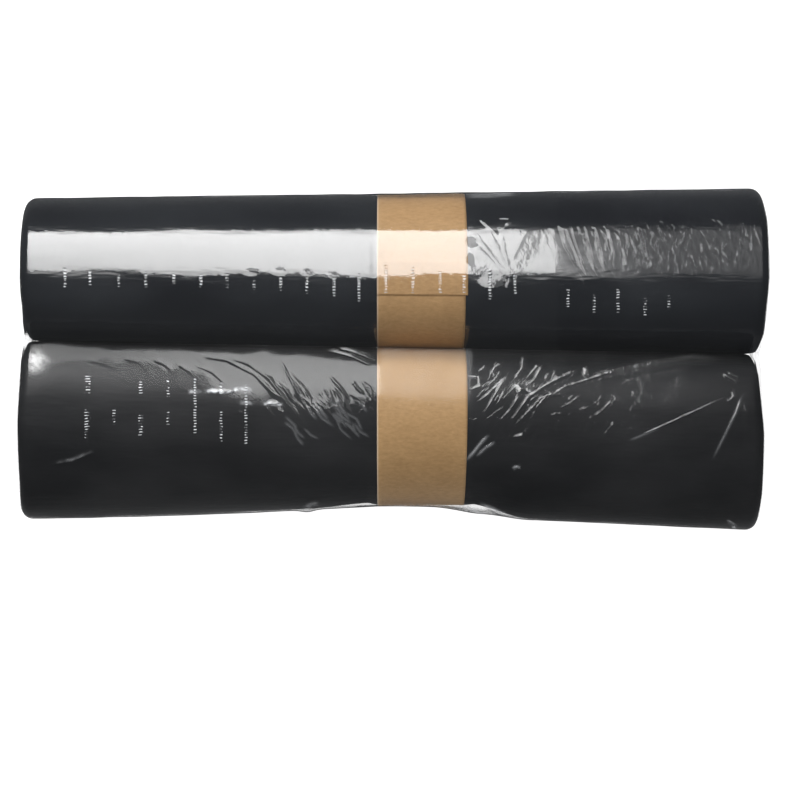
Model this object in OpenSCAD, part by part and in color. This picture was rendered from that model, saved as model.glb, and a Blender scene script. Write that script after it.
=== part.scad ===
// A twin pack of black bin bag rolls, each with a kraft label band, bound by one clear film.
// X runs along the rolls, Y across them and Z up. The pack lies flat with its film on z = 0.
// The rear roll is the one at +Y, the front roll the one at -Y.

/* [Pack] */
// Length over the film and its gathers, at the rear roll
pack_len = 350.5; // [330:0.5:380]
// How far the front roll's left end stands out past the rear roll's
left_stagger = 0.9; // [0:0.1:3]
// How far the front roll's right end falls short of the rear roll's
right_stagger = 2.8; // [0:0.1:5]
// Where the rolls touch, measured across the pack at its left end
crease_left = 8.6; // [2:0.1:10]
// Where the rolls touch, at the right end
crease_right = 2.4; // [0:0.1:8]

/* [Rear roll] */
// Outer side of the film from the origin, at the left end
rear_left = 77.2; // [74:0.1:82]
// Outer side of the film from the origin, at the right end
rear_right = 81.9; // [76:0.1:84]

/* [Front roll] */
// Outer side of the film from the origin, at the left end
front_left = 76.6; // [72:0.1:82]
// Outer side at the waist, where the band grips
front_waist = 70.7; // [68:0.1:76]
// Outer side just past the waist, to the right
front_shoulder = 77.4; // [70:0.1:80]
// Outer side at the right end
front_right = 82; // [76:0.1:84]
// Length over which the waist opens out on the right
shoulder_run = 34; // [20:1:60]

/* [Roll section] */
// Height of the rolls at the left end
roll_h_left = 77.5; // [72:0.5:84]
// Height of the rolls at the label bands
roll_h_waist = 75.5; // [70:0.5:82]
// Height of the rolls at the right end
roll_h_right = 79; // [72:0.5:84]
// Where each roll's crown lies, as a share of its width from the touching line
crown_at = 0.4; // [0.36:0.01:0.5]
// How much fuller than an egg each roll's shoulders are
fullness = 0.03; // [0:0.005:0.05]
// How far each roll is pressed flat where the two touch
squeeze = 0.7; // [0.2:0.1:2]
// How far each roll sags flat on the floor
sag = 1.6; // [0.4:0.1:3]
// Share of the height that lies above the widest line
crown_share = 0.52; // [0.48:0.01:0.56]
// How far the rolls draw in beside their label bands, on their outer sides
neck = 1.3; // [0:0.1:2]
// Length of that neck, to each side of the bands
neck_run = 32; // [20:1:45]
// Rounding of the rolls' ends
end_round = 4.5; // [3:0.5:7]
// Turns that show as ridges on each end
turns_shown = 6; // [4:1:8]
// Depth of the groove between two turns
turn_depth = 0.7; // [0.3:0.1:1.2]
// Depth of the small eye that a roll without a core has
eye_depth = 4; // [1:0.5:10]

/* [Label bands] */
// Left edge of the bands
band_x = -7.5; // [-30:0.5:10]
// Width of the bands along the rolls
band_w = 41.7; // [25:0.1:55]
// Thickness of the kraft paper
band_t = 0.25; // [0.2:0.05:0.4]
// Length of the lap where a band's ends overlap
lap_len = 16; // [8:1:25]
// Angle round the rear roll at which its outer lap ends
rear_lap_edge = 98; // [60:1:120]
// Angle round the front roll at which its outer lap ends
front_lap_edge = 200; // [185:1:215]

/* [Film] */
// Wall of the film, a stand-in for a much thinner real one
film_t = 0.3; // [0.25:0.05:0.5]
// Space between the rolls and the film
film_gap = 0.4; // [0.4:0.05:0.8]
// Angle round each roll, past its crown, at which the film leaves it
web_angle = 108; // [99:9:117]
// Angle round each roll, past its lowest line, at which the film leaves it
lift_angle = 117; // [108:9:126]
// How far the film dips between the two rolls, below where it leaves them
web_dip = 5.4; // [2:0.1:8]
// How far the film rises under the rolls, above where it leaves them
web_lift = 2.5; // [1:0.5:5]
// Height of the pulled folds beside the waist
fold_h = 1.1; // [0:0.1:2]
// Half width of one pulled fold
fold_w = 4.5; // [3:0.5:8]
// Folds in each fan
fold_count = 4; // [2:1:6]
// Depth of the gathers on the film's ends
gather_h = 0.6; // [0:0.1:1.5]
// Gathers round each end
gather_count = 18; // [8:1:28]

/* [Node] */
// Which piece to draw: all, or one name from the list

/* [Hidden] */

REAR = 1;
FRONT = -1;

roll_steps = 40;
facet = 360 / roll_steps;
web_steps = 5;
round_steps = 3;

seat_gap = 0.02;
floor_gap = 0.05;
roll_floor = film_t + floor_gap;
skin = film_t + film_gap;
leave_top = round(web_angle / facet);
leave_low = round(lift_angle / facet);
film_arc_steps = leave_top + leave_low;
recess = band_t + 0.05;
recess_run = 5;
stagger_run = 60;

// How the front side runs to its waist: the curve's power, and how far the waist stays straight
waist_power = 1.6;
waist_rest = 4;

// The eye of each roll, as a share of its width from the touching line, and its size
eye_at = 0.46;
eye_share = 0.03;
// How far the groove drifts out over one turn, in half grooves
turn_drift = 0.8;

band_end = band_x + band_w;
middle = left_stagger / 2;
roll_left = middle - pack_len / 2 + gather_h + skin;
roll_right = middle + pack_len / 2 - gather_h - skin;
crease_mid = (crease_left + crease_right) / 2;
crease_slope = (crease_right - crease_left) / pack_len;

black_film = [0.07, 0.075, 0.08];
kraft = [0.72, 0.56, 0.40];
clear_film = [0.86, 0.88, 0.90, 0.35];

// Small helpers

function mix(a, b, t) = a + (b - a) * t;
function clamp01(t) = max(0, min(1, t));
function ease(t) = let (u = clamp01(t)) u * u * (3 - 2 * u);
function along(x) = clamp01(x / pack_len + 0.5);

// How the pack changes along its length

function crease(x) = crease_mid + crease_slope * x;

function roll_h(x) = x < band_x
    ? mix(roll_h_left, roll_h_waist, ease((x + pack_len / 2) / (band_x + pack_len / 2)))
    : mix(roll_h_waist, roll_h_right, ease((x - band_end) / (pack_len / 2 - band_end)));

function front_side(x) = x < band_x
    ? mix(front_left, front_waist, pow(clamp01((x + pack_len / 2) / (band_x + pack_len / 2)),
        waist_power))
    : x < band_end + shoulder_run
        ? mix(front_waist, front_shoulder, ease((x - band_end + waist_rest)
            / (shoulder_run + waist_rest)))
        : mix(front_shoulder, front_right, clamp01((x - band_end - shoulder_run)
            / (pack_len / 2 - band_end - shoulder_run)));

function side(x, s) = s == REAR ? mix(rear_left, rear_right, along(x)) : front_side(x);

// 1 under the label bands, falling to 0 a little way past them
function under_band(x) = ease((x - band_x + recess_run) / recess_run)
    * (1 - ease((x - band_end) / recess_run));

// 1 just outside the bands, falling to 0 at the end of the neck and under the paper
function beside_band(x) = (1 - under_band(x))
    * ease((x - band_x + neck_run) / (neck_run - recess_run))
    * (1 - ease((x - band_end - recess_run) / (neck_run - recess_run)));

// The front roll's ends stand a little further left than the rear roll's
function stagger(x, s) = s == REAR ? 0
    : -left_stagger * ease((-x - pack_len / 2 + stagger_run) / stagger_run)
        - right_stagger * ease((x - pack_len / 2 + stagger_run) / stagger_run);

// The soft, egg-shaped section of one roll, grown outwards by d

function width(x, s) = abs(s * side(x, s) - crease(x)) - skin;
function crown_in(x, s) = crown_at * width(x, s);
function mid_h(x) = roll_floor + (1 - crown_share) * roll_h(x);

function full(a) = 1 + fullness * pow(sin(2 * a), 2);

function section_y(x, s, a, d) =
    let (out = width(x, s) - crown_in(x, s) + d, inn = crown_in(x, s) + squeeze + d)
    crown_in(x, s) + full(a) * ((out + inn) / 2 * cos(a) + (out - inn) / 2 * pow(cos(a), 2));

function section_z(x, a, d) = mid_h(x) + full(a) * (sin(a) > 0
    ? (crown_share * roll_h(x) + d) * sin(a)
    : ((1 - crown_share) * roll_h(x) + sag + d) * sin(a));

// A point on a roll or band, pressed flat against its twin and against the floor
function roll_point(x, s, a, d) = [
    x + stagger(x, s),
    crease(x) + s * (seat_gap + max(section_y(x, s, a, d), -min(d, 0))),
    max(section_z(x, a, d), roll_floor - min(d, 0))
];

// Solids from rings of points

function ring_faces(rings, n) = [
    for (i = [0 : rings - 2], j = [0 : n - 1])
        let (k = (j + 1) % n)
        each [
            [i * n + j, i * n + k, (i + 1) * n + j],
            [i * n + k, (i + 1) * n + k, (i + 1) * n + j]
        ]
];

// Closes the first and last ring on a centre point each
function cap_faces(rings, n, first, last) = [
    for (j = [0 : n - 1])
        let (k = (j + 1) % n, top = (rings - 1) * n)
        each [[first, k, j], [last, top + j, top + k]]
];

function join(lists) = [for (l = lists) each l];

// Bin bag roll: one solid, with its turns as a spiral on both ends

spiral_points = 2 * turns_shown;

// The end face at share f of the section, pushed in by the groove that spirals outwards
function end_point(x, s, a, f, inward, groove) =
    let (rim = roll_point(x, s, a, -end_round),
         c = [rim[0], eye_y(x, s), mid_h(x)])
    [rim[0] + inward * groove, c[1] + (rim[1] - c[1]) * f, c[2] + (rim[2] - c[2]) * f];

function eye_y(x, s) = crease(x) + s * eye_at * width(x, s);

// Ring k of the end spiral: each ring drifts out by one groove per turn round the eye
function spiral_share(k, a) = (k + turn_drift * a / 360) / (spiral_points + turn_drift);
function groove_at(k) = k == 0 ? eye_depth : (k % 2) * turn_depth;

function end_rings(x, s, inward) = [
    for (k = [0 : spiral_points - 1]) [
        for (j = [0 : roll_steps - 1])
            let (a = 360 * j / roll_steps)
            end_point(x, s, a, max(eye_share, spiral_share(k, k == 0 ? 0 : a)), inward,
                groove_at(k))
    ]
];

function rim_rings(x, s, inward) = [
    for (k = [0 : round_steps]) [
        for (j = [0 : roll_steps - 1])
            let (turn = 90 * k / round_steps, a = 360 * j / roll_steps)
            roll_point(x + inward * end_round * (1 - cos(turn)), s, a,
                -end_round * (1 - sin(turn)))
    ]
];

// Stations along a roll: shares of each long stretch, and three in the neck beside the band
neck_far = 0.8 * neck_run;
neck_near = 0.4 * neck_run;
band_stations = [for (t = [0 : 0.25 : 1]) mix(band_x, band_end, t)];
roll_stations = concat(
    [for (t = [0.14 : 0.17 : 0.9]) mix(roll_left, band_x - neck_far, t)],
    [band_x - neck_far, band_x - neck_near, band_x - recess_run],
    band_stations,
    [band_end + recess_run, band_end + neck_near, band_end + neck_far],
    [for (t = [0.17 : 0.16 : 0.95]) mix(band_end + neck_far, roll_right, t)]
);

function backwards(list) = [for (i = [len(list) - 1 : -1 : 0]) list[i]];

function body_rings(s) = [
    for (x = roll_stations) [
        for (j = [0 : roll_steps - 1])
            let (a = 360 * j / roll_steps)
            roll_point(x, s, a, -recess * under_band(x)
                - neck * beside_band(x) * pow(max(cos(a), 0), 2))
    ]
];

function roll_rings(s) = concat(
    end_rings(roll_left, s, 1),
    rim_rings(roll_left, s, 1),
    body_rings(s),
    backwards(rim_rings(roll_right, s, -1)),
    backwards(end_rings(roll_right, s, -1))
);

module bag_roll(s) {
    rings = roll_rings(s);
    eyes = [
        [roll_left + stagger(roll_left, s) + eye_depth, eye_y(roll_left, s), mid_h(roll_left)],
        [roll_right + stagger(roll_right, s) - eye_depth, eye_y(roll_right, s), mid_h(roll_right)]
    ];
    count = len(rings);
    faces = concat(
        ring_faces(count, roll_steps),
        cap_faces(count, roll_steps, count * roll_steps, count * roll_steps + 1)
    );
    polyhedron(concat(join(rings), eyes), outward(faces, s), convexity = 6);
}

// The front roll's rings run the other way round, so its faces are turned over
function outward(faces, s) = s == REAR ? [for (f = faces) [f[2], f[1], f[0]]] : faces;

module rear_roll() {
    color(black_film) bag_roll(REAR);
}

module front_roll() {
    color(black_film) bag_roll(FRONT);
}

// Kraft label band: a closed loop of paper with one lap

paper_gap = 0.03;
// The turn over which a lap's edge steps down, and how close to it no facet's corner may lie
edge_step = 0.3;
edge_clear = 0.5;

// A point on the roll's own facets at any angle, so that the paper lies flat on them
function wrapped_point(x, s, angle, d) =
    let (a = floor(angle / facet) * facet,
         t = (angle - a) / facet,
         p = roll_point(x, s, a, d),
         q = roll_point(x, s, a + facet, d))
    mix(p, q, t);

lap_turn = lap_len / (PI * roll_h_waist) * 360;

// Angles round the band: the roll's own, and a close pair at each edge of the lap
function band_angles(edge) =
    let (start = edge - lap_turn, first = floor(start / facet) + 1, last = first + roll_steps - 1)
    concat(
        [start, start + edge_step],
        [for (i = [first : last])
            let (a = i * facet)
            if (a > start + edge_clear && a < edge - edge_clear) a],
        [edge - edge_step, edge],
        [for (i = [first : last])
            let (a = i * facet)
            if (a > edge + edge_clear && a < start + 360 - edge_clear) a]
    );

// One layer of paper all round, and two between the edges of the lap
function paper_at(a, edge) =
    a > edge - lap_turn + edge_step / 2 && a < edge - edge_step / 2 ? 2 * band_t : band_t;

// One ring round the roll at height h of the paper, 0 inside and 1 outside
function band_ring(x, s, edge, h) = [
    for (a = band_angles(edge))
        wrapped_point(x, s, a, -recess + paper_gap + h * paper_at(a, edge))
];

module label_band(s, edge) {
    rings = concat(
        [for (x = band_stations) band_ring(x, s, edge, 1)],
        [for (x = backwards(band_stations)) band_ring(x, s, edge, 0)],
        [band_ring(band_x, s, edge, 1)]
    );
    steps = len(band_angles(edge));
    count = len(rings) - 1;
    wrapped = [
        for (f = ring_faces(count + 1, steps))
            [for (v = f) v % (count * steps)]
    ];
    points = [for (i = [0 : count - 1]) each rings[i]];
    polyhedron(points, outward(wrapped, -s), convexity = 6);
}

module rear_label_band() {
    color(kraft) label_band(REAR, rear_lap_edge);
}

module front_label_band() {
    color(kraft) label_band(FRONT, front_lap_edge);
}

// Shrink film: one closed shell round both rolls

// The film shares the rolls' own facets, so that it keeps its distance all round
function film_angle(i) = (leave_top - i) * facet;

// Between the rolls the film keeps clear of whichever end stands out further
function between(x) = x > 0 ? x : x + stagger(x, FRONT);

// The film's section on a roll, and the two webs that bridge the rolls
function film_arc(x, s, d, low) = [
    for (i = [0 : film_arc_steps])
        let (a = film_angle(i))
        [x + stagger(x, s),
         crease(x) + s * section_y(x, s, a, d),
         max(section_z(x, a, d), low)]
];

// Control points of the V: how far across and down the film leaves, and how blunt the tip is
leave_across = 0.55;
leave_down = 0.45;
tip_across = 0.86;

// A soft V from where the film leaves a roll down to the line between the rolls
function web_half(x, start, tip) = [
    for (i = [1 : web_steps - 1])
        let (t = i / web_steps,
             c1 = [mix(start[1], tip[0], leave_across), mix(start[2], tip[1], leave_down)],
             c2 = [mix(start[1], tip[0], tip_across), tip[1]])
        [mix(start[0], between(x), t),
         pow(1 - t, 3) * start[1] + 3 * pow(1 - t, 2) * t * c1[0]
            + 3 * (1 - t) * t * t * c2[0] + t * t * t * tip[0],
         pow(1 - t, 3) * start[2] + 3 * pow(1 - t, 2) * t * c1[1]
            + 3 * (1 - t) * t * t * c2[1] + t * t * t * tip[1]]
];

function film_ring(x, d, low) =
    let (rear = film_arc(x, REAR, d, low),
         front = film_arc(x, FRONT, d, low),
         last = film_arc_steps,
         dip = [crease(x), min(rear[0][2], front[0][2]) - web_dip],
         lift = [crease(x), max(rear[last][2], front[last][2]) + web_lift])
    concat(
        rear,
        web_half(x, rear[last], lift),
        [[between(x), lift[0], lift[1]]],
        backwards(web_half(x, front[last], lift)),
        backwards(front),
        web_half(x, front[0], dip),
        [[between(x), dip[0], dip[1]]],
        backwards(web_half(x, rear[0], dip))
    );

film_points = 2 * (film_arc_steps + 1) + 4 * (web_steps - 1) + 2;

// The film's folds, pulled out from the waist like the ribs of a fan

// Length over which a fold rises, and over which it dies away
fold_start = 8;
fold_end = 12;

// Each fan: distance from the band's edge and from the crease, first and last angle, length
lower_fan = [2, -26, -10, 52, 62];
upper_fan = [1, 48, -58, 8, 48];
left_fan = [-4, -36, 126, 156, 78];

function ridge(x, y, from, angle, length) =
    let (dx = x - from[0], dy = y - from[1],
         run = dx * cos(angle) + dy * sin(angle),
         off = abs(dy * cos(angle) - dx * sin(angle)))
    ease(run / fold_start) * ease((length - run) / fold_end) * ease(1 - off / fold_w);

function fan(x, y, edge, f) = max([
    for (i = [0 : fold_count - 1])
        ridge(x, y, [edge + f[0], crease(0) + f[1]],
            mix(f[2], f[3], i / max(fold_count - 1, 1)), f[4])
]);

function folds(p) = p[2] < mid_h(p[0]) ? 0 : fold_h * max(
    fan(p[0], p[1], band_end, lower_fan),
    fan(p[0], p[1], band_end, upper_fan),
    fan(p[0], p[1], band_x, left_fan)
);

// How much of a fold's height goes sideways and upwards
fold_side = 0.5;
fold_up = 0.9;

function folded(p, x) =
    let (lift = folds(p), c = [crease(x), mid_h(x)],
         out = [p[1] - c[0], p[2] - c[1]], size = norm(out))
    [p[0], p[1] + out[0] / size * lift * fold_side, p[2] + lift * fold_up];

// Stations crowd beside the bands, where the waist and most of the folds are
left_stations = [for (t = [0.05 : 0.09 : 0.96]) mix(roll_left, band_x, t)];
waist_stations = concat(
    [for (t = [0 : 0.3 : 0.9]) mix(band_x, band_end, t)],
    [for (t = [0 : 0.045 : 0.45]) mix(band_end, roll_right, t)]
);
right_stations = [for (t = [0.5 : 0.09 : 0.95]) mix(band_end, roll_right, t)];
film_stations = concat(left_stations, waist_stations, right_stations);
lining_stations = concat(
    [for (i = [0 : 3 : len(left_stations) - 1]) left_stations[i]],
    waist_stations,
    [for (i = [0 : 2 : len(right_stations) - 1]) right_stations[i]]
);

// The film's rounded ends follow the rolls' own rounding, one skin further out
function film_rim(end_x, inward, d, low) = [
    for (k = [0 : round_steps])
        let (turn = 90 * k / round_steps, r = end_round + d)
        film_ring(end_x - inward * d + inward * r * (1 - cos(turn)),
            d - r * (1 - sin(turn)), low + r * (1 - sin(turn)))
];

// Two rings of each end, as shares of its outline
cap_inner = 0.45;
cap_outer = 0.8;

// An end of the film drawn in towards its middle, with gathers on the outer skin
function film_cap(ring, f, inward, depth) =
    let (c = centre(ring))
    [for (j = [0 : film_points - 1])
        let (p = ring[j],
             wave = pow(cos(180 * gather_count * j / film_points), 2))
        [p[0] - inward * depth * wave, mix(c[1], p[1], f), mix(c[2], p[2], f)]];

function centre(ring) =
    let (dip = ring[film_points - web_steps], lift = ring[film_arc_steps + web_steps])
    [dip[0], dip[1], (dip[2] + lift[2]) / 2];

function skin_rings(d, low, stations, gather) =
    let (left = film_rim(roll_left, 1, d, low),
         right = backwards(film_rim(roll_right, -1, d, low)),
         left_end = left[0], right_end = right[len(right) - 1])
    concat(
        [film_cap(left_end, cap_inner, 1, gather / 3), film_cap(left_end, cap_outer, 1, gather)],
        left,
        [for (x = stations) film_ring(x, d, low)],
        right,
        [film_cap(right_end, cap_outer, -1, gather), film_cap(right_end, cap_inner, -1, gather / 3)]
    );

module film_skin(d, low, stations, gather) {
    plain = skin_rings(d, low, stations, gather);
    rings = gather > 0 ? [for (r = plain) [for (p = r) folded(p, p[0])]] : plain;
    count = len(rings);
    ends = [centre(rings[0]), centre(rings[count - 1])];
    faces = concat(
        ring_faces(count, film_points),
        cap_faces(count, film_points, count * film_points, count * film_points + 1)
    );
    polyhedron(concat(join(rings), ends), faces, convexity = 8);
}

module shrink_film() {
    color(clear_film) difference() {
        film_skin(skin, 0, film_stations, gather_h);
        film_skin(film_gap, film_t, lining_stations, 0);
    }
}

rear_roll();
front_roll();
rear_label_band();
front_label_band();
shrink_film();
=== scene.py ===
"""Looks of a film-wrapped pack of two black bin bag rolls with kraft label bands."""
import math

import bmesh
import bpy
import numpy as np
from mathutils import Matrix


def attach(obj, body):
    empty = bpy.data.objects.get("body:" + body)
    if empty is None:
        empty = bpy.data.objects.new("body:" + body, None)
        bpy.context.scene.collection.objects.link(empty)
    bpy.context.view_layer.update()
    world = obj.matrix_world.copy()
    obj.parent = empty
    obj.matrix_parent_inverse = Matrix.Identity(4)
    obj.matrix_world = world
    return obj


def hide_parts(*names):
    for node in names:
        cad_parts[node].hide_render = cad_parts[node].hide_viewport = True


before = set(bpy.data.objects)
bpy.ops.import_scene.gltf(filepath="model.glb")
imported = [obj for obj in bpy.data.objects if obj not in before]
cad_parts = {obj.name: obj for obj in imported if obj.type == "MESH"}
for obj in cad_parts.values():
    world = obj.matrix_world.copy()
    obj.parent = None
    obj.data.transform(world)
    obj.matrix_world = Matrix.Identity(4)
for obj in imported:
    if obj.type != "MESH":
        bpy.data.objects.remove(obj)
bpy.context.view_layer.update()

# Sizes are in millimetres, and become metres when a mesh is written.
MM = 0.001
REAR, FRONT = 1, -1

# The pack's driving sizes, as in the solids

PACK_LEN = 350.5
LEFT_STAGGER, RIGHT_STAGGER, STAGGER_RUN = 0.9, 2.8, 60.0
CREASE_LEFT, CREASE_RIGHT = 8.6, 2.4
REAR_LEFT, REAR_RIGHT = 77.2, 81.9
FRONT_LEFT, FRONT_WAIST, FRONT_SHOULDER, FRONT_RIGHT = 76.6, 70.7, 77.4, 82.0
SHOULDER_RUN = 34.0
ROLL_H_LEFT, ROLL_H_WAIST, ROLL_H_RIGHT = 77.5, 75.5, 79.0
CROWN_AT, CROWN_SHARE = 0.4, 0.52
SQUEEZE, SAG, FULLNESS = 0.7, 1.6, 0.03
NECK, NECK_RUN = 1.3, 32.0
END_ROUND = 4.5
BAND_X, BAND_W, BAND_T = -7.5, 41.7, 0.25
LAP_LEN = 16.0
REAR_LAP_EDGE, FRONT_LAP_EDGE = 98.0, 200.0
FILM_T, FILM_GAP = 0.3, 0.4
WEB_ANGLE, LIFT_ANGLE = 108.0, 117.0
WEB_DIP, WEB_LIFT = 5.4, 2.5
GATHER_H, GATHER_COUNT = 0.6, 18

SEAT_GAP, FLOOR_GAP = 0.02, 0.05
ROLL_FLOOR = FILM_T + FLOOR_GAP
SKIN = FILM_T + FILM_GAP
RECESS, RECESS_RUN = BAND_T + 0.05, 5.0
BAND_END = BAND_X + BAND_W
MIDDLE = LEFT_STAGGER / 2
ROLL_LEFT = MIDDLE - PACK_LEN / 2 + GATHER_H + SKIN
ROLL_RIGHT = MIDDLE + PACK_LEN / 2 - GATHER_H - SKIN

# The view is straight down, so a place on the pack can be given as it is seen from above

CAMERA_X, CAMERA_Y, CAMERA_Z = 3.3, -19.6, 1880.0
CROWN_Z = 80.0
PHOTO_SIZE = 800
MM_PER_PIXEL = 0.4686


def seen_from_above(x, y, z):
    """Where a point shows in the photo's frame, in pixels."""
    scale = MM_PER_PIXEL * (CAMERA_Z - z) / (CAMERA_Z - CROWN_Z)
    return (PHOTO_SIZE / 2 + (x - CAMERA_X) / scale,
            PHOTO_SIZE / 2 - (y - CAMERA_Y) / scale)


# How the pack changes along its length

def mix(a, b, t):
    return a + (b - a) * t


def ease(t):
    t = np.clip(t, 0.0, 1.0)
    return t * t * (3.0 - 2.0 * t)


def crease(x):
    return (CREASE_LEFT + CREASE_RIGHT) / 2 + (CREASE_RIGHT - CREASE_LEFT) / PACK_LEN * x


def roll_height(x):
    left = mix(ROLL_H_LEFT, ROLL_H_WAIST, ease((x + PACK_LEN / 2) / (BAND_X + PACK_LEN / 2)))
    right = mix(ROLL_H_WAIST, ROLL_H_RIGHT, ease((x - BAND_END) / (PACK_LEN / 2 - BAND_END)))
    return np.where(x < BAND_X, left, right)


def outer_side(x, s):
    if s == REAR:
        return mix(REAR_LEFT, REAR_RIGHT, np.clip(x / PACK_LEN + 0.5, 0, 1))
    run = np.clip((x + PACK_LEN / 2) / (BAND_X + PACK_LEN / 2), 0, 1)
    left = mix(FRONT_LEFT, FRONT_WAIST, run ** 1.6)
    waist = mix(FRONT_WAIST, FRONT_SHOULDER, ease((x - BAND_END + 4) / (SHOULDER_RUN + 4)))
    start = BAND_END + SHOULDER_RUN
    right = mix(FRONT_SHOULDER, FRONT_RIGHT, np.clip((x - start) / (PACK_LEN / 2 - start), 0, 1))
    return np.where(x < BAND_X, left, np.where(x < start, waist, right))


def under_band(x):
    return ease((x - BAND_X + RECESS_RUN) / RECESS_RUN) * (1 - ease((x - BAND_END) / RECESS_RUN))


def between_bands(x):
    return ease((x - BAND_X + 1.0) / 0.8) * (1 - ease((x - BAND_END - 0.2) / 0.8))


def beside_band(x):
    run = NECK_RUN - RECESS_RUN
    return ((1 - under_band(x)) * ease((x - BAND_X + NECK_RUN) / run)
            * (1 - ease((x - BAND_END - RECESS_RUN) / run)))


def stagger(x, s):
    if s == REAR:
        return np.zeros_like(x)
    return (-LEFT_STAGGER * ease((-x - PACK_LEN / 2 + STAGGER_RUN) / STAGGER_RUN)
            - RIGHT_STAGGER * ease((x - PACK_LEN / 2 + STAGGER_RUN) / STAGGER_RUN))


# The soft, egg-shaped section of one roll, grown outwards by d

def roll_width(x, s):
    return np.abs(s * outer_side(x, s) - crease(x)) - SKIN


def middle_height(x):
    return ROLL_FLOOR + (1 - CROWN_SHARE) * roll_height(x)


def section(x, s, angle, d):
    """Distance from the crease and height of the roll's surface at an angle in degrees."""
    a = np.radians(angle)
    full = 1 + FULLNESS * np.sin(2 * a) ** 2
    inner = CROWN_AT * roll_width(x, s)
    out = roll_width(x, s) - inner + d
    inn = inner + SQUEEZE + d
    across = inner + full * ((out + inn) / 2 * np.cos(a) + (out - inn) / 2 * np.cos(a) ** 2)
    above = (CROWN_SHARE * roll_height(x) + d) * np.sin(a)
    below = ((1 - CROWN_SHARE) * roll_height(x) + SAG + d) * np.sin(a)
    return across, middle_height(x) + full * np.where(np.sin(a) > 0, above, below)


# How far each roll's ends reach past the straight cut: at the crease, the crown and the flank
END_REACH = {(REAR, -1): (-1.4, 1.5, 1.4), (REAR, 1): (-2.2, 2.0, 0.5),
             (FRONT, -1): (-1.0, 1.9, 2.9), (FRONT, 1): (-2.2, 2.5, 1.5)}
REACH_RUN = 50.0


def drawn_out(places):
    """The places with the rolls' ends drawn out to their soft shape."""
    x, y = places[..., 0], places[..., 1]
    moved = places.copy()
    for (s, end), (near, crown, flank) in END_REACH.items():
        across = np.clip(s * (y - crease(x)) / roll_width(x, s), 0, 1)
        here = s * (y - crease(x)) >= 0
        reach = np.interp(across, (0, 0.12, 0.45, 0.8, 1),
                          (near, mix(near, crown, 0.5), crown, crown, flank))
        far = ease((end * x - PACK_LEN / 2 + REACH_RUN) / REACH_RUN)
        moved[..., 0] += np.where(here, end * reach * far, 0)
    return moved


def roll_point(x, s, angle, d):
    """A point on a roll or band, pressed flat against its twin and against the floor."""
    across, z = section(x, s, angle, d)
    inset = -np.minimum(d, 0)
    return (x + stagger(x, s),
            crease(x) + s * (SEAT_GAP + np.maximum(across, inset)),
            np.maximum(z, ROLL_FLOOR + inset))


# Meshes: a plain grid is made, moved into place and its seam merged

def flat_grid(rows, columns):
    """A flat grid, and a way to read which row and column each of its points is on."""
    mesh = bmesh.new()
    bmesh.ops.create_grid(mesh, x_segments=rows - 1, y_segments=columns - 1, size=0.5)

    def whereabouts():
        spots = np.array([tuple(v.co) for v in mesh.verts])
        return (spots[:, 0] + 0.5) * (rows - 1), (spots[:, 1] + 0.5) * (columns - 1)

    return mesh, whereabouts


def cut_finer(mesh, wanted):
    """Halves the edges of every face whose corners are all wanted."""
    mesh.verts.index_update()
    edges = {edge for face in mesh.faces if all(wanted[v.index] for v in face.verts)
             for edge in face.edges}
    bmesh.ops.subdivide_edges(mesh, edges=sorted(edges, key=lambda e: e.index), cuts=1,
                              use_grid_fill=True)
    mesh.verts.index_update()
    mesh.edges.index_update()


def to_object(name, mesh):
    """A new object of the mesh."""
    data = bpy.data.meshes.new(name)
    mesh.to_mesh(data)
    mesh.free()
    made = bpy.data.objects.new(name, data)
    bpy.context.scene.collection.objects.link(made)
    return made


def move_points(piece, places):
    """Moves a piece's points to their places in millimetres."""
    piece.data.vertices.foreach_set("co", (places * MM).ravel())


def to_piece(name, mesh, places):
    """An object of the grid's mesh, with its points moved to their places in millimetres."""
    piece = to_object(name, mesh)
    move_points(piece, places)
    return piece


def rings_to_piece(name, rings):
    """A piece through rings of points, each a row of the grid."""
    mesh, whereabouts = flat_grid(rings.shape[0], rings.shape[1])
    row, column = (np.rint(v).astype(int) for v in whereabouts())
    return to_piece(name, mesh, rings[row, column])


MERGE_M = 0.00002


def close_up(piece):
    """Merges the seam and the poles, and turns every face outwards."""
    mesh = bmesh.new()
    mesh.from_mesh(piece.data)
    bmesh.ops.remove_doubles(mesh, verts=mesh.verts, dist=MERGE_M)
    bmesh.ops.dissolve_degenerate(mesh, dist=MERGE_M / 4, edges=mesh.edges)
    bmesh.ops.recalc_face_normals(mesh, faces=mesh.faces)
    for face in mesh.faces:
        face.smooth = True
    mesh.to_mesh(piece.data)
    mesh.free()
    return piece


def points_of(piece):
    spots = np.empty(len(piece.data.vertices) * 3)
    piece.data.vertices.foreach_get("co", spots)
    return spots.reshape(-1, 3) / MM


def paint(piece, name, values):
    """Stores one number a point, for a material to read."""
    layer = piece.data.attributes.new(name, "FLOAT", "POINT")
    layer.data.foreach_set("value", np.asarray(values, dtype=np.float32))


def spread(*stretches):
    """Places between the given ends, each stretch (start, end, spacing) at its own spacing."""
    places = []
    for start, end, spacing in stretches:
        count = max(1, round(abs(end - start) / spacing))
        places.append(np.linspace(start, end, count, endpoint=False))
    return np.concatenate(places + [[stretches[-1][1]]])


def rolling_noise(u, v, seed, size, waves=14):
    """Smooth uneven ground of height about -1 to 1, made of seeded waves about one size long."""
    rng = np.random.default_rng(seed)
    ground = np.zeros_like(u)
    for _ in range(waves):
        turn, phase = rng.uniform(0, math.tau, 2)
        length = size * rng.uniform(0.6, 1.6)
        ground += np.sin((u * math.cos(turn) + v * math.sin(turn)) * math.tau / length + phase)
    return ground / math.sqrt(waves)


# The film's plain shape

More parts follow.
